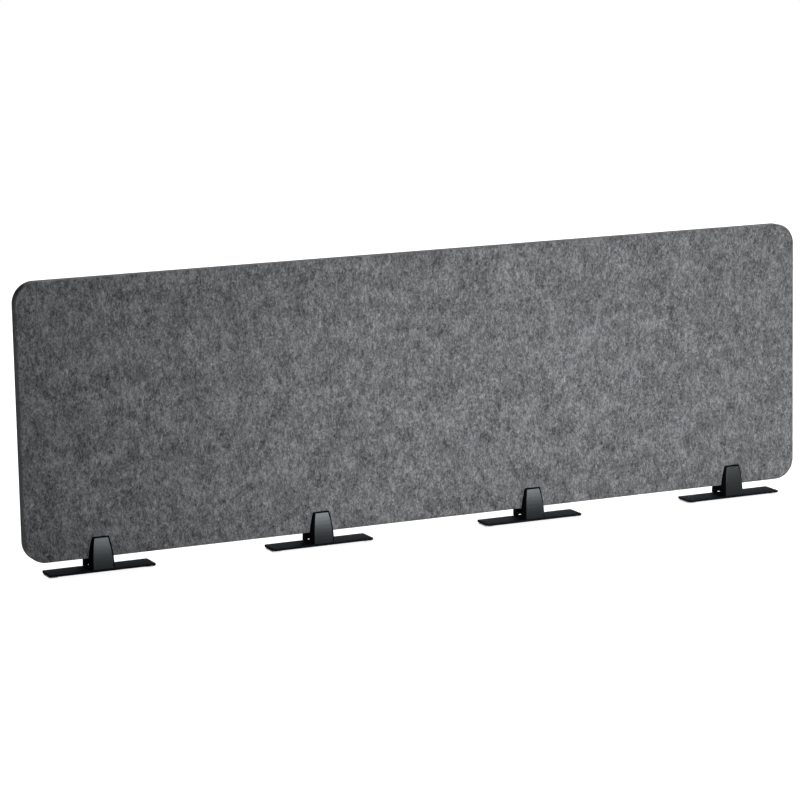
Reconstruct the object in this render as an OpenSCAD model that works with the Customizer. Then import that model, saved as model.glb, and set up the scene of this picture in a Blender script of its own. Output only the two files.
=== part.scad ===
// Acoustic divider screen that stands on a desk or a floor.
// A felt panel drops into four small screw clamps, and each clamp stands on a flat steel foot
// that turns about one screw. Sizes are millimetres.
// X runs along the panel, the front faces -Y, Z is up and the surface it stands on is at zero.

/* [Panel] */
// Length of the panel
panel_w = 1600; // [1300:10:2400]
// Height of the panel
panel_h = 510; // [300:10:900]
// Thickness of the soft board in the middle of the panel
core_t = 16; // [8:1:22]
// Thickness of the pressed felt board on each side
felt_t = 4; // [3:0.5:8]
// Radius of the four corners of the panel
corner_r = 40; // [15:1:90]
// Rounding where the felt turns over the edge of the panel
felt_edge_r = 2.2; // [0.8:0.2:2.8]

/* [Foot places] */
// Distance from each end of the panel to the middle of the nearest foot
foot_inset = 142; // [120:1:180]

/* [Foot plate] */
// Length of the steel plate
plate_l = 203; // [120:1:260]
// Depth of the steel plate
plate_d = 50; // [44:1:90]
// Thickness of the steel plate
plate_t = 4; // [2.6:0.2:8]
// Radius of the corners of the steel plate
plate_corner_r = 5; // [1:0.5:8]
// Bevel round the top edge of the steel plate
plate_bevel = 0.8; // [0.2:0.1:1.2]
// Thickness of the anti-slip pads
pad_t = 2.2; // [0.8:0.1:4]
// Length of each anti-slip pad, along the plate
pad_l = 16; // [8:1:40]
// Distance from the ends of the plate to the pads
pad_end_inset = 0.8; // [0.5:0.1:6]
// Distance from the long edges of the plate to the pads
pad_side_inset = 6; // [1:0.5:12]

/* [Clamp jaws] */
// Height of each jaw
jaw_h = 57; // [48:1:80]
// Width of a jaw at the bottom
jaw_base_w = 38.5; // [36:0.5:60]
// Width of a jaw at the top
jaw_top_w = 26.5; // [24:0.5:32]
// Thickness of a jaw at the bottom
jaw_base_t = 11.5; // [11:0.5:18]
// Thickness of a jaw at the top
jaw_top_t = 3.8; // [3.6:0.1:6]
// Width that the front jaw's back has more than its face, on each side, at the bottom
jaw_flare = 6; // [2:0.2:7]
// Width that the front jaw's back has more than its face, on each side, at the top
jaw_top_flare = 3; // [1:0.2:4]
// Thickness of the lip round the back of the front jaw
jaw_lip_t = 1; // [0.6:0.1:1.6]
// Height of that lip above the front jaw's face
jaw_lip_rise = 1.3; // [0.6:0.1:2]
// Width that the rear jaw has more than the front jaw's face, on each side
rear_jaw_add = 4.4; // [0:0.2:6]
// Rounding of the outer edges of a jaw
jaw_edge_r = 1; // [0.4:0.1:1.6]
// Wall of the hollows cored out of the back of a jaw
jaw_wall = 2.2; // [1.6:0.1:3]
// Height of the arch under the rear jaw
arch_h = 1; // [0.6:0.2:7]
// Width of the two legs beside the arch
leg_w = 2; // [1.6:0.1:4]
// How far the front jaw opens
jaw_travel = 5; // [2:0.5:6]

/* [Clamp base] */
// Width of the block that joins the jaws under the panel
base_w = 15; // [14.5:0.5:18]
// Height of that block, which carries the lower edge of the panel
base_h = 19.5; // [18.8:0.1:26]
// Side of the square tongue of the front jaw
tongue_w = 9.8; // [9:0.1:10.2]
// Height of the clamp screw above the bottom of the block
screw_rise = 11.8; // [11.4:0.1:12.4]
// Length of the tongue, past the inner face of the front jaw
tongue_l = 19; // [17:0.5:20]

/* [Grip pads] */
// Width of the rubber pad on each jaw
grip_w = 20; // [14:0.5:22]
// Height of the rubber pad on each jaw
grip_h = 29; // [18:1:32]
// Thickness of the rubber pad
grip_t = 1.6; // [1.2:0.1:2.4]
// Depth of the seat that holds the rubber pad
grip_seat = 0.6; // [0.3:0.1:0.8]
// Height of the lower end of the pad above the panel's edge
grip_rise = 3; // [1:0.5:5]

/* [Screws] */
// Radius of the clamp screw and of the pivot screw
screw_r = 2.5; // [2:0.1:2.8]
// Length of the clamp screw under its head
clamp_screw_l = 25; // [23:0.5:27]
// Radius of the head of the clamp screw
head_r = 4.25; // [3.8:0.05:4.6]
// Height of the head of the clamp screw
head_h = 4.6; // [3.5:0.1:4.8]
// Radius of the countersunk head of the pivot screw
pivot_head_r = 4.6; // [3.8:0.1:4.8]
// Depth of the pivot screw in the clamp base
pivot_grip = 6; // [4:0.5:6.4]
// Outer radius of the friction washer under the clamp base
washer_r = 9; // [6:0.5:12]
// Thickness of the friction washer
washer_t = 0.8; // [0.5:0.1:2]
// Wall of the brass threaded sleeves
sleeve_wall = 0.9; // [0.6:0.1:1.2]
// Length of the brass sleeve in the tongue of the front jaw
nut_l = 9; // [6:0.5:10]

/* [Hidden] */
FOOT_COUNT = 4;
FOOT_PARTS = ["foot_plate", "foot_pads", "pivot_screw", "pivot_sleeve", "pivot_washer", "clamp_base",
              "rear_jaw", "rear_grip", "front_jaw", "front_grip", "jaw_sleeve", "clamp_screw"];

// Colours
felt_grey = "#77797b";
core_grey = "#6a6c6e";
jaw_black = "#2c2e30";
plate_black = "#1e1f21";
pad_grey = "#aeb0b2";
rubber_black = "#26272a";
steel = "#8d9093";
brass = "#b59a56";
nylon_white = "#d9d9d4";

// Steps of rounded outlines, and the thin slice that closes a rounded form
corner_steps = 10;
edge_steps = 3;
jaw_steps = 8;
slice_t = 0.02;
round_fn = 48;
hex_fn = 6;
// Cuts run past a face by this much
overrun = 1;

// Clearances
fit_gap = 0.05;
swivel_gap = 0.08;
slide_gap = 0.1;
loose_gap = 0.35;
key_gap = 0.15;
countersink_gap = 0.2;

// Where the feet stand: the outer pair at the ends, the inner pair set by hand near the thirds
foot_place_shares = [-1, -0.341, 0.329, 0.999];
outer_foot_x = panel_w / 2 - foot_inset;

// Levels, from the surface upwards
plate_top = pad_t + plate_t;
jaw_bottom = plate_top + washer_t;
panel_bottom = jaw_bottom + base_h;
screw_z = jaw_bottom + screw_rise;

// Places across the panel, counted from its middle plane
panel_t = core_t + 2 * felt_t;
grip_stand = grip_t - grip_seat;
jaw_inner_y = panel_t / 2 + grip_stand;

// Clamp base
base_key = 1.5;
base_bevel = 0.8;
base_front_gap = 0.4;
base_front_y = -jaw_inner_y + base_front_gap;
base_rear_y = jaw_inner_y + base_key;
base_end_wall = 3;
channel_w = tongue_w + 2 * slide_gap;
channel_rear_y = base_rear_y - base_end_wall;
pivot_sleeve_r = screw_r + fit_gap + sleeve_wall;

// Jaws: the powers with which their sides draw in and their faces lean back towards the top
jaw_curve_share = 2.3;
jaw_lean_share = 1.7;

// Rear jaw: the clamp screw's head lies in a round seat
seat_floor = 4.4;
head_seat_r = head_r + loose_gap;
seat_floor_y = jaw_inner_y + seat_floor;

// Front jaw
web_wall = 1.5;
jaw_sleeve_r = screw_r + fit_gap + sleeve_wall;
tip_bore_l = 6;
core_top = base_h - web_wall;

// Grip pads
grip_low = base_h + grip_rise;
grip_corner_r = 2;
groove_count = 5;
groove_w = 1.6;
groove_depth = 0.4;

// Screw heads
socket_r = 2.3;
socket_depth = 2.4;
pivot_socket_r = 1.7;
pivot_socket_depth = 1.4;
pivot_sink = 0.25;
pivot_head_h = pivot_head_r - screw_r;
screw_tip_bevel = 0.5;

function arc(cx, cy, r, a0, a1, steps) =
    [for (i = [0:steps]) let (a = a0 + (a1 - a0) * i / steps) [cx + r * cos(a), cy + r * sin(a)]];

// A rectangle with round corners, about its own middle
function round_rect(w, h, r, steps) = concat(
    arc(w / 2 - r, h / 2 - r, r, 0, 90, steps),
    arc(r - w / 2, h / 2 - r, r, 90, 180, steps),
    arc(r - w / 2, r - h / 2, r, 180, 270, steps),
    arc(w / 2 - r, r - h / 2, r, 270, 360, steps));

// A rectangle from (-w/2, 0) to (w/2, t) with both upper corners cut off
function bevel_bar(w, t, bevel) =
    [[-w / 2, 0], [w / 2, 0], [w / 2, t - bevel], [w / 2 - bevel, t], [bevel - w / 2, t], [-w / 2, t - bevel]];

function foot_x(n) = outer_foot_x * foot_place_shares[n - 1];

module at_foot(n) {
    translate([foot_x(n), 0, 0]) children();
}

// PANEL
// Its three boards share one outline and are glued face to face.

function panel_outline(inset) =
    round_rect(panel_w - 2 * inset, panel_h - 2 * inset, corner_r - inset, corner_steps);

module upright_board(t) {
    translate([0, 0, panel_bottom + panel_h / 2]) rotate([90, 0, 0])
        linear_extrude(t, center = true) polygon(panel_outline(0));
}

// A felt board that stands on the core at y = -core_t / 2 and rolls over at its outer edge
module felt_board() {
    translate([0, -core_t / 2, panel_bottom + panel_h / 2]) rotate([90, 0, 0]) hull() {
        linear_extrude(felt_t - felt_edge_r) polygon(panel_outline(0));
        for (i = [1:edge_steps]) {
            a = 90 * i / edge_steps;
            translate([0, 0, felt_t - felt_edge_r * (1 - sin(a)) - slice_t])
                linear_extrude(slice_t) polygon(panel_outline(felt_edge_r * (1 - cos(a))));
        }
    }
}

module core_board() {
    color(core_grey) upright_board(core_t);
}

module front_felt() {
    color(felt_grey) felt_board();
}

module rear_felt() {
    color(felt_grey) mirror([0, 1, 0]) felt_board();
}

// FOOT
// A flat steel plate on two thin pads, which turns under its clamp about the pivot screw.

module foot_plate(n) {
    head_z = pivot_sink + pivot_head_h;
    color(plate_black) at_foot(n) translate([0, 0, pad_t]) difference() {
        intersection() {
            linear_extrude(plate_t) polygon(round_rect(plate_l, plate_d, plate_corner_r, edge_steps));
            rotate([90, 0, 90]) linear_extrude(plate_l, center = true)
                polygon(bevel_bar(plate_d, plate_t, plate_bevel));
            rotate([90, 0, 0]) linear_extrude(plate_d, center = true)
                polygon(bevel_bar(plate_l, plate_t, plate_bevel));
        }
        translate([0, 0, -overrun])
            cylinder(r = screw_r + swivel_gap, h = plate_t + 2 * overrun, $fn = round_fn);
        rotate_extrude($fn = round_fn) polygon([
            [0, -overrun], [pivot_head_r + countersink_gap, -overrun],
            [pivot_head_r + countersink_gap, pivot_sink], [screw_r, head_z + countersink_gap],
            [0, head_z + countersink_gap]]);
    }
}

module foot_pads(n) {
    pad_x = plate_l / 2 - pad_end_inset - pad_l / 2;
    color(pad_grey) at_foot(n) for (side = [-1, 1]) translate([side * pad_x, 0, 0])
        linear_extrude(pad_t)
            polygon(round_rect(pad_l, plate_d - 2 * pad_side_inset, plate_corner_r / 2, edge_steps));
}

module pivot_screw(n) {
    tip_z = pad_t + plate_t + washer_t + pivot_grip;
    head_low = pad_t + pivot_sink;
    color(steel) at_foot(n) difference() {
        rotate_extrude($fn = round_fn) polygon([
            [0, head_low], [pivot_head_r, head_low], [screw_r, head_low + pivot_head_h],
            [screw_r, tip_z - screw_tip_bevel], [screw_r - screw_tip_bevel, tip_z], [0, tip_z]]);
        translate([0, 0, head_low - overrun])
            cylinder(r = pivot_socket_r, h = pivot_socket_depth + overrun, $fn = hex_fn);
    }
}

// Brass sleeve pressed into the clamp base, which takes the thread of the pivot screw
module pivot_sleeve(n) {
    color(brass) at_foot(n) translate([0, 0, jaw_bottom]) difference() {
        cylinder(r = pivot_sleeve_r, h = pivot_grip, $fn = round_fn);
        translate([0, 0, -overrun])
            cylinder(r = screw_r + fit_gap, h = pivot_grip + 2 * overrun, $fn = round_fn);
    }
}

module pivot_washer(n) {
    color(nylon_white) at_foot(n) translate([0, 0, plate_top]) difference() {
        cylinder(r = washer_r, h = washer_t, $fn = round_fn);
        translate([0, 0, -overrun])
            cylinder(r = screw_r + swivel_gap, h = washer_t + 2 * overrun, $fn = round_fn);
    }
}

// CLAMP
// A moulded block under the panel's edge, a rear jaw keyed on its end, and a front jaw whose
// square tongue slides in the block. One screw from the back draws the two jaws together.

module clamp_base(n) {
    length = base_rear_y - base_front_y;
    color(jaw_black) at_foot(n) translate([0, 0, jaw_bottom]) difference() {
        translate([0, base_rear_y, base_h]) rotate([90, 180, 0])
            linear_extrude(length) polygon(bevel_bar(base_w, base_h, base_bevel));
        translate([-channel_w / 2, base_front_y - overrun, screw_rise - channel_w / 2])
            cube([channel_w, channel_rear_y - base_front_y + overrun, channel_w]);
        translate([0, base_rear_y + overrun, screw_rise]) rotate([90, 0, 0])
            cylinder(r = screw_r + slide_gap, h = base_end_wall + 2 * overrun, $fn = round_fn);
        translate([0, 0, -overrun])
            cylinder(r = pivot_sleeve_r + fit_gap, h = pivot_grip + overrun, $fn = round_fn);
    }
}

function jaw_half(s) = jaw_base_w / 2 - (jaw_base_w - jaw_top_w) / 2 * pow(s, jaw_curve_share);
function jaw_depth(s) = jaw_base_t - (jaw_base_t - jaw_top_t) * pow(s, jaw_lean_share);
function flare_at(s) = jaw_flare + (jaw_top_flare - jaw_flare) * s;

// A jaw's outline at one height, from the half width x and the depth of its face, with a back
// that is wider than the face by flare on each side
function jaw_ring(x, depth, flare) =
    let (r = jaw_edge_r)
    concat([[x + flare, 0], [x + flare, -jaw_lip_t]], arc(x - r, r - depth, r, 0, -90, edge_steps),
           arc(r - x, r - depth, r, -90, -180, edge_steps), [[-x - flare, -jaw_lip_t], [-x - flare, 0]]);

module jaw_slice(z, add, flared, inset) {
    s = z / jaw_h;
    translate([0, 0, z]) linear_extrude(slice_t)
        polygon(jaw_ring(jaw_half(s) + add - inset, jaw_depth(s) - inset, flared * flare_at(s)));
}

// The outer form of a jaw: its back is the plane y = 0, and it leans and narrows as it rises.
// With flared = 1 its sides spread towards the back, with 0 they run straight back.
module jaw_form(add, flared) {
    hull() {
        for (i = [0:jaw_steps]) jaw_slice((jaw_h - jaw_edge_r) * i / jaw_steps, add, flared, 0);
        for (i = [1:edge_steps]) {
            a = 90 * i / edge_steps;
            jaw_slice(jaw_h - jaw_edge_r * (1 - sin(a)) - slice_t, add, flared, jaw_edge_r * (1 - cos(a)));
        }
    }
}

// The upper end of the lip round the back of the front jaw, which stands above its face
module jaw_lip() {
    for (i = [1:edge_steps]) {
        a = 90 * i / edge_steps;
        half = jaw_half(1) + jaw_top_flare - jaw_edge_r * (1 - cos(a));
        translate([-half, -jaw_lip_t, jaw_h + jaw_lip_rise - jaw_edge_r * (1 - sin(a)) - slice_t])
            cube([2 * half, jaw_lip_t, slice_t]);
    }
}

// Two hollows cored out of the back of a jaw, from the level low up to the panel's edge
module jaw_hollows(web, low) {
    inner_x = web / 2 + web_wall;
    outer_x = jaw_half(core_top / jaw_h) - jaw_wall;
    depth = jaw_depth(core_top / jaw_h) - jaw_wall;
    for (side = [0, 1]) mirror([side, 0, 0])
        translate([inner_x, -depth, low]) cube([outer_x - inner_x, depth + overrun, core_top - low]);
}

module grip_seat_cut() {
    translate([0, overrun, grip_low + grip_h / 2]) rotate([90, 0, 0])
        linear_extrude(overrun + grip_seat)
            polygon(round_rect(grip_w + 2 * fit_gap, grip_h + 2 * fit_gap, grip_corner_r, edge_steps));
}

module rear_jaw(n) {
    arch_w = jaw_base_w + 2 * (rear_jaw_add - leg_w);
    color(jaw_black) at_foot(n) translate([0, jaw_inner_y, jaw_bottom]) mirror([0, 1, 0]) difference() {
        jaw_form(rear_jaw_add, 0);
        grip_seat_cut();
        jaw_hollows(base_w, arch_h);
        translate([-arch_w / 2, -jaw_base_t - overrun, -overrun])
            cube([arch_w, jaw_base_t + 2 * overrun, arch_h + overrun]);
        translate([-base_w / 2 - key_gap, -base_key, -overrun])
            cube([base_w + 2 * key_gap, base_key + overrun, base_h + overrun]);
        translate([0, overrun, screw_rise]) rotate([90, 0, 0])
            cylinder(r = screw_r + slide_gap, h = jaw_base_t + 2 * overrun, $fn = round_fn);
        translate([0, -seat_floor, screw_rise]) rotate([90, 0, 0])
            cylinder(r = head_seat_r, h = jaw_base_t, $fn = round_fn);
    }
}

module front_jaw(n) {
    color(jaw_black) at_foot(n) translate([0, -jaw_inner_y, jaw_bottom]) difference() {
        union() {
            hull() {
                jaw_form(0, 1);
                jaw_lip();
            }
            translate([-tongue_w / 2, -jaw_wall, screw_rise - tongue_w / 2])
                cube([tongue_w, tongue_l + jaw_wall, tongue_w]);
        }
        grip_seat_cut();
        jaw_hollows(tongue_w, jaw_wall);
        translate([0, tongue_l + overrun, screw_rise]) rotate([90, 0, 0])
            cylinder(r = jaw_sleeve_r + fit_gap, h = nut_l + overrun, $fn = round_fn);
        translate([0, tongue_l, screw_rise]) rotate([90, 0, 0])
            cylinder(r = screw_r + slide_gap, h = nut_l + tip_bore_l, $fn = round_fn);
    }
}

// A rubber pad with shallow grooves across its face, on the back plane of a jaw
module grip_pad() {
    pitch = grip_h / (groove_count + 1);
    translate([0, grip_stand, grip_low]) difference() {
        translate([0, 0, grip_h / 2]) rotate([90, 0, 0])
            linear_extrude(grip_t) polygon(round_rect(grip_w, grip_h, grip_corner_r, edge_steps));
        for (i = [1:groove_count]) translate([-grip_w / 2 - overrun, -groove_depth, pitch * i - groove_w / 2])
            cube([grip_w + 2 * overrun, groove_depth + overrun, groove_w]);
    }
}

module rear_grip(n) {
    color(rubber_black) at_foot(n) translate([0, jaw_inner_y, jaw_bottom]) mirror([0, 1, 0]) grip_pad();
}

module front_grip(n) {
    color(rubber_black) at_foot(n) translate([0, -jaw_inner_y, jaw_bottom]) grip_pad();
}

// Brass sleeve in the end of the tongue, which takes the thread of the clamp screw
module jaw_sleeve(n) {
    color(brass) at_foot(n) translate([0, tongue_l - jaw_inner_y, screw_z]) rotate([90, 0, 0])
        difference() {
            cylinder(r = jaw_sleeve_r, h = nut_l, $fn = round_fn);
            translate([0, 0, -overrun])
                cylinder(r = screw_r + fit_gap, h = nut_l + 2 * overrun, $fn = round_fn);
        }
}

module clamp_screw(n) {
    color(steel) at_foot(n) translate([0, seat_floor_y, screw_z]) rotate([90, 0, 0]) difference() {
        rotate_extrude($fn = round_fn) polygon([
            [0, -head_h], [head_r, -head_h], [head_r, 0], [screw_r, 0],
            [screw_r, clamp_screw_l - screw_tip_bevel],
            [screw_r - screw_tip_bevel, clamp_screw_l], [0, clamp_screw_l]]);
        translate([0, 0, -head_h - overrun])
            cylinder(r = socket_r, h = socket_depth + overrun, $fn = hex_fn);
    }
}

core_board();
front_felt();
rear_felt();
for (n = [1:FOOT_COUNT]) {
    foot_plate(n);
    foot_pads(n);
    pivot_screw(n);
    pivot_sleeve(n);
    pivot_washer(n);
    clamp_base(n);
    rear_jaw(n);
    rear_grip(n);
    front_jaw(n);
    front_grip(n);
    jaw_sleeve(n);
    clamp_screw(n);
}
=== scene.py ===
import math

import bmesh
import bpy
from mathutils import Matrix, Vector, noise


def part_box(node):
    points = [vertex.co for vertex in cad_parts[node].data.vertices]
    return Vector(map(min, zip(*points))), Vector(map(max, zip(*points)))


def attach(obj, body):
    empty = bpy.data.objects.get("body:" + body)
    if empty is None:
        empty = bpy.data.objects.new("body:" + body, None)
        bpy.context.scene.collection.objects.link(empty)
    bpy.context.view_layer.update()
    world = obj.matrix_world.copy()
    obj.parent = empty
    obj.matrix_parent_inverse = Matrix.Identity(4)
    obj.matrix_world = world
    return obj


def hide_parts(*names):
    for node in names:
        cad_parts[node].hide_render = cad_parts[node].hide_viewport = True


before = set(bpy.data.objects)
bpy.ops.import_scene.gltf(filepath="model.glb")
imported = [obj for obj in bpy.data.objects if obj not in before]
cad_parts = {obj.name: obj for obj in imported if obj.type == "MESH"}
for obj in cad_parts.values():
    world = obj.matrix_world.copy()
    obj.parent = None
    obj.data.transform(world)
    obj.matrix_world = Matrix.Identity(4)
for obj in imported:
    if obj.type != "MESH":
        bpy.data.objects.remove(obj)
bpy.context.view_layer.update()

scene = bpy.context.scene
scene.view_settings.view_transform = "Standard"

# CAMERA
# The photograph's view: from the left front, a little above the screen. The place and the three
# turns come from a fit of the panel's edges and the feet, which needs no shift of the lens.
VIEW_FROM = Vector((-2.4888, -5.3807, 1.2925))
VIEW_YAW = math.radians(24.362)
VIEW_PITCH = math.radians(9.931)
VIEW_ROLL = math.radians(-1.159)
VIEW_SENSOR = 36.0
VIEW_LENS = 143.7
VIEW_REACH = 100.0


def camera_matrix():
    ahead = Vector((math.sin(VIEW_YAW) * math.cos(VIEW_PITCH),
                    math.cos(VIEW_YAW) * math.cos(VIEW_PITCH), -math.sin(VIEW_PITCH)))
    right = Vector((math.cos(VIEW_YAW), -math.sin(VIEW_YAW), 0))
    up = right.cross(ahead)
    rolled_right = right * math.cos(VIEW_ROLL) + up * math.sin(VIEW_ROLL)
    rolled_up = up * math.cos(VIEW_ROLL) - right * math.sin(VIEW_ROLL)
    turn = Matrix((rolled_right, rolled_up, -ahead)).transposed().to_4x4()
    return Matrix.Translation(VIEW_FROM) @ turn


camera = bpy.data.objects.new("camera", bpy.data.cameras.new("camera"))
scene.collection.objects.link(camera)
camera.data.sensor_width = VIEW_SENSOR
camera.data.lens = VIEW_LENS
camera.data.clip_end = VIEW_REACH
camera.matrix_world = camera_matrix()
scene.camera = camera


# LIGHT AND FLOOR
# A studio sweep of white card. A low, wide softbox in front lights the felt's right half most, a
# large one stands high to the right, and one lights the back. A gloss panel, which only satin and
# metal surfaces mirror, gives the jaws their sheen.
class Wire:
    """One socket of a shader. Sums of wires add Math nodes, and add() adds any other node."""

    def __init__(self, tree, socket=None):
        self.tree = tree
        self.socket = socket

    def add(self, kind, settings=None, sockets=None, out=0):
        made = self.tree.nodes.new("ShaderNode" + kind)
        for key, value in (settings or {}).items():
            setattr(made, key, value)
        for key, value in (sockets or {}).items():
            if isinstance(value, Wire):
                self.tree.links.new(value.socket, made.inputs[key])
            else:
                made.inputs[key].default_value = value
        return Wire(self.tree, made.outputs[out])

    def maths(self, operation, first, second):
        return self.add("Math", {"operation": operation}, {0: first, 1: second})

    def __add__(self, other):
        return self.maths("ADD", self, other)

    def __sub__(self, other):
        return self.maths("SUBTRACT", self, other)

    def __mul__(self, other):
        return self.maths("MULTIPLY", self, other)

    def __rsub__(self, other):
        return self.maths("SUBTRACT", other, self)

    __radd__ = __add__
    __rmul__ = __mul__

    def larger(self, other):
        return self.maths("MAXIMUM", self, other)

    def away_from(self, middle):
        """How far the wire's value is from middle, either way."""
        return self.maths("ABSOLUTE", self - middle, 0)

    def power(self, exponent):
        return self.maths("POWER", self, exponent)

    def between(self, low, high):
        """0 at low, 1 at high, and clamped outside."""
        return self.add("MapRange", {}, {"Value": self, "From Min": low, "From Max": high})

    def stretched(self, x, y, z):
        """The place with its axes scaled: noise on it runs longer along an axis with a share under 1."""
        return self.add("VectorMath", {"operation": "MULTIPLY"}, {0: self, 1: (x, y, z)})

    def noise(self, waves, detail=2.0, roughness=0.5, distortion=0.0):
        """Noise about one half, of so many waves a metre. The wire holds the place."""
        return self.add("TexNoise", {}, {"Vector": self, "Scale": waves, "Detail": detail,
                                         "Roughness": roughness, "Distortion": distortion})

    def colour(self, low, high):
        """From colour low where the wire is 0 to colour high where it is 1."""
        return self.add("Mix", {"data_type": "RGBA"}, {0: self, 6: (*low, 1), 7: (*high, 1)}, 2)

    def bump(self, strength, depth):
        """A normal from the wire's value as a height."""
        return self.add("Bump", {}, {"Height": self, "Strength": strength, "Distance": depth})


MM = 0.001
FLOOR_SIZE = 14.0
FLOOR_DROP = 0.2 * MM
FLOOR_WHITE = (0.8, 0.8, 0.8, 1)
FLOOR_SHADOW_SHARE = 0.34
FLOOR_GLOW = 1.43
CONTACT_REACH = 3 * MM
CONTACT_SAMPLES = 8
CONTACT_CLOSED = 0.2
CONTACT_OPEN = 0.6
AMBIENT = 0.07
AMBIENT_TINT = (0.88, 1, 1.01, 1)
WHITE = (1, 1, 1, 1)
WATTS_FOR_WHITE = math.pi * math.pi


def seen_directly(tree):
    """1 for rays from the camera and from gloss and glass, 0 for the rays that light things."""
    rays = tree.nodes.new("ShaderNodeLightPath").outputs
    camera_ray = Wire(tree, rays["Is Camera Ray"])
    glossy_ray = Wire(tree, rays["Is Glossy Ray"])
    return camera_ray.larger(glossy_ray).larger(Wire(tree, rays["Is Transmission Ray"]))


def make_world():
    world = bpy.data.worlds.new("white_card")
    world.use_nodes = True
    tree = world.node_tree
    blank = Wire(tree)
    lighting = blank.add("Background", {}, {"Color": AMBIENT_TINT, "Strength": AMBIENT})
    shown = blank.add("Background", {}, {"Color": WHITE, "Strength": 1})
    either = blank.add("MixShader", {}, {0: seen_directly(tree), 1: lighting, 2: shown})
    tree.links.new(either.socket, tree.nodes["World Output"].inputs["Surface"])
    scene.world = world


def make_floor():
    half = FLOOR_SIZE / 2
    mesh = bpy.data.meshes.new("floor")
    corners = [(-half, -half, -FLOOR_DROP), (half, -half, -FLOOR_DROP),
               (half, half, -FLOOR_DROP), (-half, half, -FLOOR_DROP)]
    mesh.from_pydata(corners, [], [(0, 1, 2, 3)])
    floor = bpy.data.objects.new("floor", mesh)
    scene.collection.objects.link(floor)
    material = bpy.data.materials.new("floor_card")
    material.use_nodes = True
    tree = material.node_tree
    tree.nodes.remove(tree.nodes["Principled BSDF"])
    blank = Wire(tree)
    card = blank.add("BsdfDiffuse", {}, {"Color": FLOOR_WHITE})
    glow = blank.add("Emission", {}, {"Color": WHITE, "Strength": FLOOR_GLOW})
    nearness = blank.add("AmbientOcclusion", {"samples": CONTACT_SAMPLES},
                         {"Distance": CONTACT_REACH}, "AO")
    open_air = nearness.between(CONTACT_CLOSED, CONTACT_OPEN)
    share = seen_directly(tree) * (1 - FLOOR_SHADOW_SHARE) * open_air
    surface = blank.add("MixShader", {}, {0: share, 1: card, 2: glow})
    tree.links.new(surface.socket, tree.nodes["Material Output"].inputs["Surface"])
    mesh.materials.append(material)


def softbox(name, place, target, width, height, level):
    """A rectangular lamp whose light reaches level 1, as a colour is written, at its target."""
    lamp = bpy.data.lights.new(name, "AREA")
    lamp.shape = "RECTANGLE"
    lamp.size = width
    lamp.size_y = height
    ray = Vector(target) - Vector(place)
    lamp.energy = level * WATTS_FOR_WHITE * ray.length_squared
    box = bpy.data.objects.new(name, lamp)
    scene.collection.objects.link(box)
    box.location = place
    box.rotation_euler = ray.to_track_quat("-Z", "Y").to_euler()
    box.visible_camera = False
    return box


make_world()
make_floor()
front_softbox = softbox("front_softbox", place=(0.17, -1.52, 0.08), target=(1.45, 0, -0.40),
                        width=1.50, height=0.14, level=0.85)
front_softbox.visible_glossy = False
gloss_panel = softbox("gloss_panel", place=(1.175, -3, 1.417), target=(0.10, 0, 0.04),
                      width=1.59, height=1.87, level=2.46)
gloss_panel.visible_diffuse = False
softbox("top_softbox", place=(6.0, 1.5, 5.5), target=(0.10, 0, 0.30), width=4.0, height=2.0, level=1.95)
softbox("back_softbox", place=(1.50, 2.4, 1.5), target=(0.30, 0, 0.28), width=1.6, height=1.0, level=0.75)


# FELT FACES
# Two boards of needled polyester felt, 4 mm thick, dark and light fibres mixed before pressing.
# Each is glued to the core board, and its outer edge is pressed round over a small radius.
CORNER_R = 40 * MM
FELT_EDGE_R = 2.2 * MM
FELT_CELL = 5 * MM
CORNER_STEPS = 14
EDGE_STEPS = 5
RELIEF = 0.16 * MM
RELIEF_WAVE = 16 * MM
EDGE_FRAY = 0.12 * MM
EDGE_FRAY_WAVE = 3.5 * MM
FELT_FULL = (0.441, 0.448, 0.465)
FELT_BLACK = (0, 0, 0)
FELT_GAMMA = 2.2
FELT_ROUGHNESS = 0.95
FELT_SHEEN = 0.12
FELT_NAP = 1.8 * MM
FELT_NAP_STRENGTH = 0.6
UPRIGHT_STRETCH = 0.6
CLOUD_WAVES = 26
CLOUD_SHARE = 0.26
TUFT_WAVES = 85
TUFT_SHARE = 0.29
STRAND_WAVES = 205
STRAND_SHARE = 0.60
GRAIN_WAVES = 410
GRAIN_SHARE = 0.49
HAIR_WAVES = 150
HAIR_STRETCH = 0.4
HAIR_CURL = 2.2
HAIR_WIDTH = 0.02
HAIR_TONE = 0.08
HAIR_HEIGHT = 0.3


def new_finish(name, roughness, **constants):
    """A material, its Principled shader and a wire that holds the place on the object."""
    material = bpy.data.materials.new(name)
    material.use_nodes = True
    tree = material.node_tree
    shader = tree.nodes["Principled BSDF"]
    shader.inputs["Roughness"].default_value = roughness
    for key, value in constants.items():
        shader.inputs[key.replace("_", " ")].default_value = value
    place = Wire(tree).add("TexCoord", {}, {}, "Object")
    return material, shader, place


def join(shader, key, wire):
    """Feeds a wire to the shader's socket of the given name."""
    wire.tree.links.new(wire.socket, shader.inputs[key])


def felt_mottle(place):
    """Clouds, tufts and fibres of the mixed felt, about one half. Fibres lie mostly upright."""
    upright = place.stretched(1, 1, UPRIGHT_STRETCH)
    clouds = place.noise(CLOUD_WAVES, roughness=0.6) - 0.5
    tufts = upright.noise(TUFT_WAVES, roughness=0.6, distortion=0.4) - 0.5
    strands = upright.noise(STRAND_WAVES, roughness=0.7, distortion=0.6) - 0.5
    grain = upright.noise(GRAIN_WAVES, roughness=0.7, distortion=0.3) - 0.5
    coarse = clouds * CLOUD_SHARE + tufts * TUFT_SHARE
    return coarse + strands * STRAND_SHARE + grain * GRAIN_SHARE + 0.5


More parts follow.
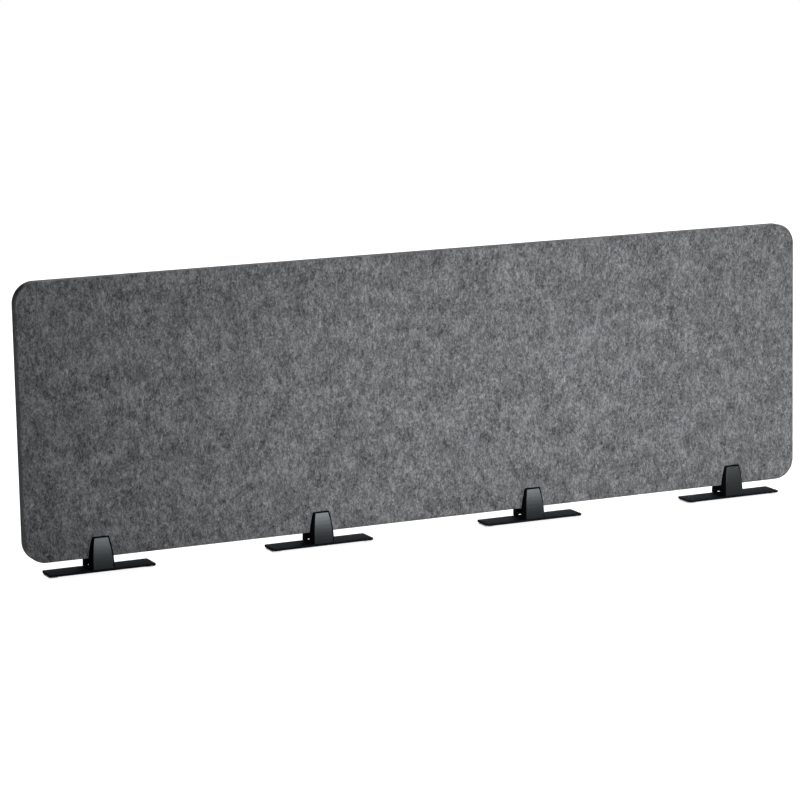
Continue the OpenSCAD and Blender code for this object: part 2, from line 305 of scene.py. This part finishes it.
def felt_hairs(place):
    """1 along thin curly hairs, 0 between them."""
    curls = place.stretched(1, 1, HAIR_STRETCH).noise(HAIR_WAVES, detail=1, distortion=HAIR_CURL)
    return 1 - curls.away_from(0.5).between(0, HAIR_WIDTH)


def make_felt_finish():
    material, shader, place = new_finish("melange_felt", FELT_ROUGHNESS, Sheen_Weight=FELT_SHEEN,
                                         Sheen_Roughness=0.5, Specular_IOR_Level=0.0)
    mottle = felt_mottle(place)
    hairs = felt_hairs(place)
    tone = (mottle + hairs * HAIR_TONE).larger(0).power(FELT_GAMMA)
    join(shader, "Base Color", tone.colour(FELT_BLACK, FELT_FULL))
    join(shader, "Normal", (mottle + hairs * HAIR_HEIGHT).bump(FELT_NAP_STRENGTH, FELT_NAP))
    return material


def ride_as(name, mesh, material, body, slot, *nodes):
    """Puts a finished mesh in the scene as the piece that stands for some CAD nodes."""
    piece = bpy.data.objects.new(name, mesh)
    scene.collection.objects.link(piece)
    mesh.materials.append(material)
    for face in mesh.polygons:
        face.use_smooth = True
    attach(piece, body)
    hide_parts(*nodes)
    return piece


def corner_centre(x, z, low, high):
    """The nearest point to (x, z) of the rectangle between the centres of the round corners."""
    return Vector((min(max(x, low.x + CORNER_R), high.x - CORNER_R), 0,
                   min(max(z, low.z + CORNER_R), high.z - CORNER_R)))


def column_places(low_x, high_x, radius):
    """The x places of a board's columns: close together over the corners, then even."""
    turns = [math.pi / 2 * step / CORNER_STEPS for step in range(CORNER_STEPS)]
    bend = [radius * (1 - math.cos(turn)) for turn in turns]
    straight = high_x - low_x - 2 * radius
    count = round(straight / FELT_CELL)
    middle = [low_x + radius + straight * step / count for step in range(count + 1)]
    return [low_x + x for x in bend] + middle + [high_x - x for x in reversed(bend)]


def face_columns(low, high, inset, rows):
    """A grid of points over the rounded outline, drawn in by inset, as columns from low to high."""
    radius = CORNER_R - inset
    columns = []
    for x in column_places(low.x + inset, high.x - inset, radius):
        aside = max(low.x + CORNER_R - x, x - high.x + CORNER_R, 0)
        drop = radius - math.sqrt(max(radius * radius - aside * aside, 0))
        bottom = low.z + inset + drop
        top = high.z - inset - drop
        columns.append([Vector((x, 0, bottom + (top - bottom) * row / rows)) for row in range(rows + 1)])
    return columns


def border_of(columns):
    """The grid's outer points, once round: up the first column, along the top and back."""
    top = [column[-1] for column in columns[1:-1]]
    bottom = [column[0] for column in columns[1:-1]]
    return columns[0] + top + columns[-1][::-1] + bottom[::-1]


def outward_of(line, low, high):
    """The direction away from the board's middle at each point of a border."""
    return [(point - corner_centre(point.x, point.z, low, high)).normalized() for point in line]


def ring_faces(mesh, first, second):
    """A band of faces between two rings with as many points."""
    count = len(first)
    for here in range(count):
        after = (here + 1) % count
        mesh.faces.new((first[here], first[after], second[after], second[here]))


def dent(point, wave, most):
    """A gentle depth between 0 and most that changes over one wave."""
    return most * (0.5 + 0.5 * noise.noise(point / wave))


def finished_mesh(mesh, name):
    """Closes a bmesh into mesh data of the given name."""
    bmesh.ops.recalc_face_normals(mesh, faces=mesh.faces)
    data = bpy.data.meshes.new(name)
    mesh.to_mesh(data)
    mesh.free()
    return data


def make_felt_board(name, side):
    """side is -1 for the front board, which faces -Y, and 1 for the rear one."""
    low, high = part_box(name)
    glue_y, face_y = sorted((low.y, high.y), key=abs)
    rows = round((high.z - low.z) / FELT_CELL)
    columns = face_columns(low, high, FELT_EDGE_R, rows)
    mesh = bmesh.new()
    grid = [[mesh.verts.new((p.x, face_y - side * dent(p, RELIEF_WAVE, RELIEF), p.z)) for p in column]
            for column in columns]
    for left, right in zip(grid, grid[1:]):
        for row in range(rows):
            mesh.faces.new((left[row], right[row], right[row + 1], left[row + 1]))
    ring = border_of(grid)
    line = border_of(columns)
    outward = outward_of(line, low, high)
    for step in range(1, EDGE_STEPS + 2):
        turn = math.pi / 2 * min(step / EDGE_STEPS, 1)
        depth = FELT_EDGE_R * (1 - math.cos(turn))
        y = face_y - side * depth if step <= EDGE_STEPS else glue_y
        after = []
        for point, out in zip(line, outward):
            place = point + out * FELT_EDGE_R * math.sin(turn)
            place.y = y
            place -= out * dent(place, EDGE_FRAY_WAVE, EDGE_FRAY)
            after.append(mesh.verts.new(place))
        ring_faces(mesh, ring, after)
        ring = after
    mesh.faces.new(ring)
    return finished_mesh(mesh, name + "_board")


felt_finish = make_felt_finish()
for board, side in (("front_felt", -1), ("rear_felt", 1)):
    ride_as(board + "_board", make_felt_board(board, side), felt_finish, "screen", "felt", board)


# CORE BOARD
# A 16 mm board of coarser pressed fibre between the felt faces. Only its cut edge shows: a smooth
# band with faint layers along it, set back a little from the felt on both sides.
CORE_SETBACK = 0.35 * MM
CORE_GLUE_LINE = 0.5 * MM
CORE_GLUE_SHARPNESS = 8
CORE_BANDS = 12
CORE_DARK = (0.064, 0.065, 0.067)
CORE_LIGHT = (0.150, 0.152, 0.156)
LAYER_WAVES = 70
LAYER_STRETCH = 9
LAYER_SHARE = 0.9
CORE_GRAIN_WAVES = 330
CORE_GRAIN_SHARE = 1.4
CORE_NAP = 0.6 * MM
CORE_NAP_STRENGTH = 0.5


def make_core_finish():
    material, shader, place = new_finish("pressed_core", FELT_ROUGHNESS, Specular_IOR_Level=0.0)
    across = place.stretched(1, LAYER_STRETCH, 1)
    layers = across.noise(LAYER_WAVES, detail=3, roughness=0.6, distortion=0.2) - 0.5
    grain = place.noise(CORE_GRAIN_WAVES, roughness=0.7, distortion=0.3) - 0.5
    value = layers * LAYER_SHARE + grain * CORE_GRAIN_SHARE + 0.5
    join(shader, "Base Color", value.colour(CORE_DARK, CORE_LIGHT))
    join(shader, "Normal", value.bump(CORE_NAP_STRENGTH, CORE_NAP))
    return material


def make_core_board():
    low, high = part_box("core_board")
    rows = round((high.z - low.z) / FELT_CELL)
    line = border_of(face_columns(low, high, 0, rows))
    outward = outward_of(line, low, high)
    mesh = bmesh.new()
    ring = None
    for band in range(CORE_BANDS + 1):
        share = band / CORE_BANDS
        y = low.y + (high.y - low.y) * share
        groove = CORE_GLUE_LINE * abs(2 * share - 1) ** CORE_GLUE_SHARPNESS
        after = []
        for point, out in zip(line, outward):
            place = Vector((point.x, y, point.z))
            depth = CORE_SETBACK + groove + dent(place, EDGE_FRAY_WAVE, EDGE_FRAY)
            after.append(mesh.verts.new(place - out * depth))
        if ring:
            ring_faces(mesh, ring, after)
        else:
            mesh.faces.new(after)
        ring = after
    mesh.faces.new(ring)
    return finished_mesh(mesh, "core_board_edge")


ride_as("core_board_edge", make_core_board(), make_core_finish(), "screen", "core", "core_board")


# JAWS AND CLAMP BASES
# Injection moulded in black glass-filled nylon. What faces straight forwards or back is satin, and
# the rims, sides and tops have the matt grain of the mould.
JAW_BLACK = (0.0017, 0.0020, 0.0022)
JAW_GRAIN_WAVES = 1800
MATT_ROUGHNESS = 0.7
MATT_GLOSS = 0.005
MATT_GRAIN = 0.1 * MM
SATIN_ROUGHNESS = 0.28
SATIN_GLOSS = 0.163
SATIN_TINT = (0.90, 1, 1.035, 1)
SATIN_GRAIN = 0.05 * MM
SATIN_STARTS = 0.92
SATIN_FULL = 0.96


def dress(slot, material):
    """Gives a finish to every CAD node that holds the material slot."""
    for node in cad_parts.values():
        for place in node.material_slots:
            if place.material and place.material.name == slot:
                place.material = material


def make_jaw_finish():
    material, matt, place = new_finish("black_nylon", MATT_ROUGHNESS, Specular_IOR_Level=MATT_GLOSS)
    tree = material.node_tree
    matt.inputs["Base Color"].default_value = (*JAW_BLACK, 1)
    grain = place.noise(JAW_GRAIN_WAVES, roughness=0.6)
    join(matt, "Normal", grain.bump(strength=0.15, depth=MATT_GRAIN))
    satin = tree.nodes.new("ShaderNodeBsdfPrincipled")
    satin.inputs["Base Color"].default_value = (*JAW_BLACK, 1)
    satin.inputs["Specular IOR Level"].default_value = SATIN_GLOSS
    satin.inputs["Specular Tint"].default_value = SATIN_TINT
    satin.inputs["Roughness"].default_value = SATIN_ROUGHNESS
    join(satin, "Normal", grain.bump(strength=0.06, depth=SATIN_GRAIN))
    facing = place.add("NewGeometry", {}, {}, "Normal")
    forwards = place.add("SeparateXYZ", {}, {0: facing}, "Y")
    on_face = forwards.away_from(0).between(SATIN_STARTS, SATIN_FULL)
    finishes = {0: on_face, 1: Wire(tree, matt.outputs[0]), 2: Wire(tree, satin.outputs[0])}
    mixed = place.add("MixShader", {}, finishes)
    tree.links.new(mixed.socket, tree.nodes["Material Output"].inputs["Surface"])
    return material


dress("jaw", make_jaw_finish())


# FOOT PLATES AND PADS
# Flat steel, 4 mm thick, powder-coated black with a fine texture. Each plate turns on its pivot
# screw and rests on two pads of light grey foam rubber, whose ends show under the plate's.
PLATE_BLACK = (0.0050, 0.0071, 0.0093)
PLATE_ROUGHNESS = 0.75
PLATE_GLOSS = 0.0075
PLATE_PEEL = 0.08 * MM
PLATE_PEEL_WAVES = 1300
PAD_GREY = (0.66, 0.67, 0.68)
PAD_DARKEST_SHARE = 0.85
PAD_LIGHTEST_SHARE = 1.1
PAD_CELL_WAVES = 2400
PAD_CELL_DEPTH = 0.1 * MM


def make_plate_finish():
    material, shader, place = new_finish("powder_coat", PLATE_ROUGHNESS, Specular_IOR_Level=PLATE_GLOSS)
    shader.inputs["Base Color"].default_value = (*PLATE_BLACK, 1)
    orange_peel = place.noise(PLATE_PEEL_WAVES, roughness=0.6)
    join(shader, "Normal", orange_peel.bump(strength=0.25, depth=PLATE_PEEL))
    return material


def make_pad_finish():
    material, shader, place = new_finish("foam_rubber", roughness=0.85, Specular_IOR_Level=0.2)
    cells = place.noise(PAD_CELL_WAVES, roughness=0.7)
    darkest = [channel * PAD_DARKEST_SHARE for channel in PAD_GREY]
    lightest = [channel * PAD_LIGHTEST_SHARE for channel in PAD_GREY]
    join(shader, "Base Color", cells.colour(darkest, lightest))
    join(shader, "Normal", cells.bump(strength=0.3, depth=PAD_CELL_DEPTH))
    return material


dress("plate", make_plate_finish())
dress("pad", make_pad_finish())


# SMALL FITTINGS
# What a clamp is put together with: rubber grips on the inner faces of its jaws, zinc-plated
# screws, the turned brass sleeves that they run in, and a washer of natural nylon on the pivot.
RUBBER_BLACK = (0.012, 0.012, 0.013)
ZINC = (0.52, 0.54, 0.57)
BRASS = (0.60, 0.46, 0.20)
NYLON = (0.62, 0.62, 0.58)


def make_fitting_finish(name, colour, roughness, waves, depth, **constants):
    """An even colour with a fine grain of so many waves a metre."""
    material, shader, place = new_finish(name, roughness, **constants)
    shader.inputs["Base Color"].default_value = (*colour, 1)
    join(shader, "Normal", place.noise(waves, roughness=0.6).bump(strength=0.2, depth=depth))
    return material


dress("grip", make_fitting_finish("grip_rubber", RUBBER_BLACK, roughness=0.8, waves=2500,
                                  depth=0.05 * MM, Specular_IOR_Level=0.15))
dress("screw", make_fitting_finish("zinc_plate", ZINC, roughness=0.34, waves=3000,
                                   depth=0.01 * MM, Metallic=1.0))
dress("sleeve", make_fitting_finish("turned_brass", BRASS, roughness=0.3, waves=3000,
                                    depth=0.01 * MM, Metallic=1.0))
dress("washer", make_fitting_finish("natural_nylon", NYLON, roughness=0.5, waves=900, depth=0.02 * MM))
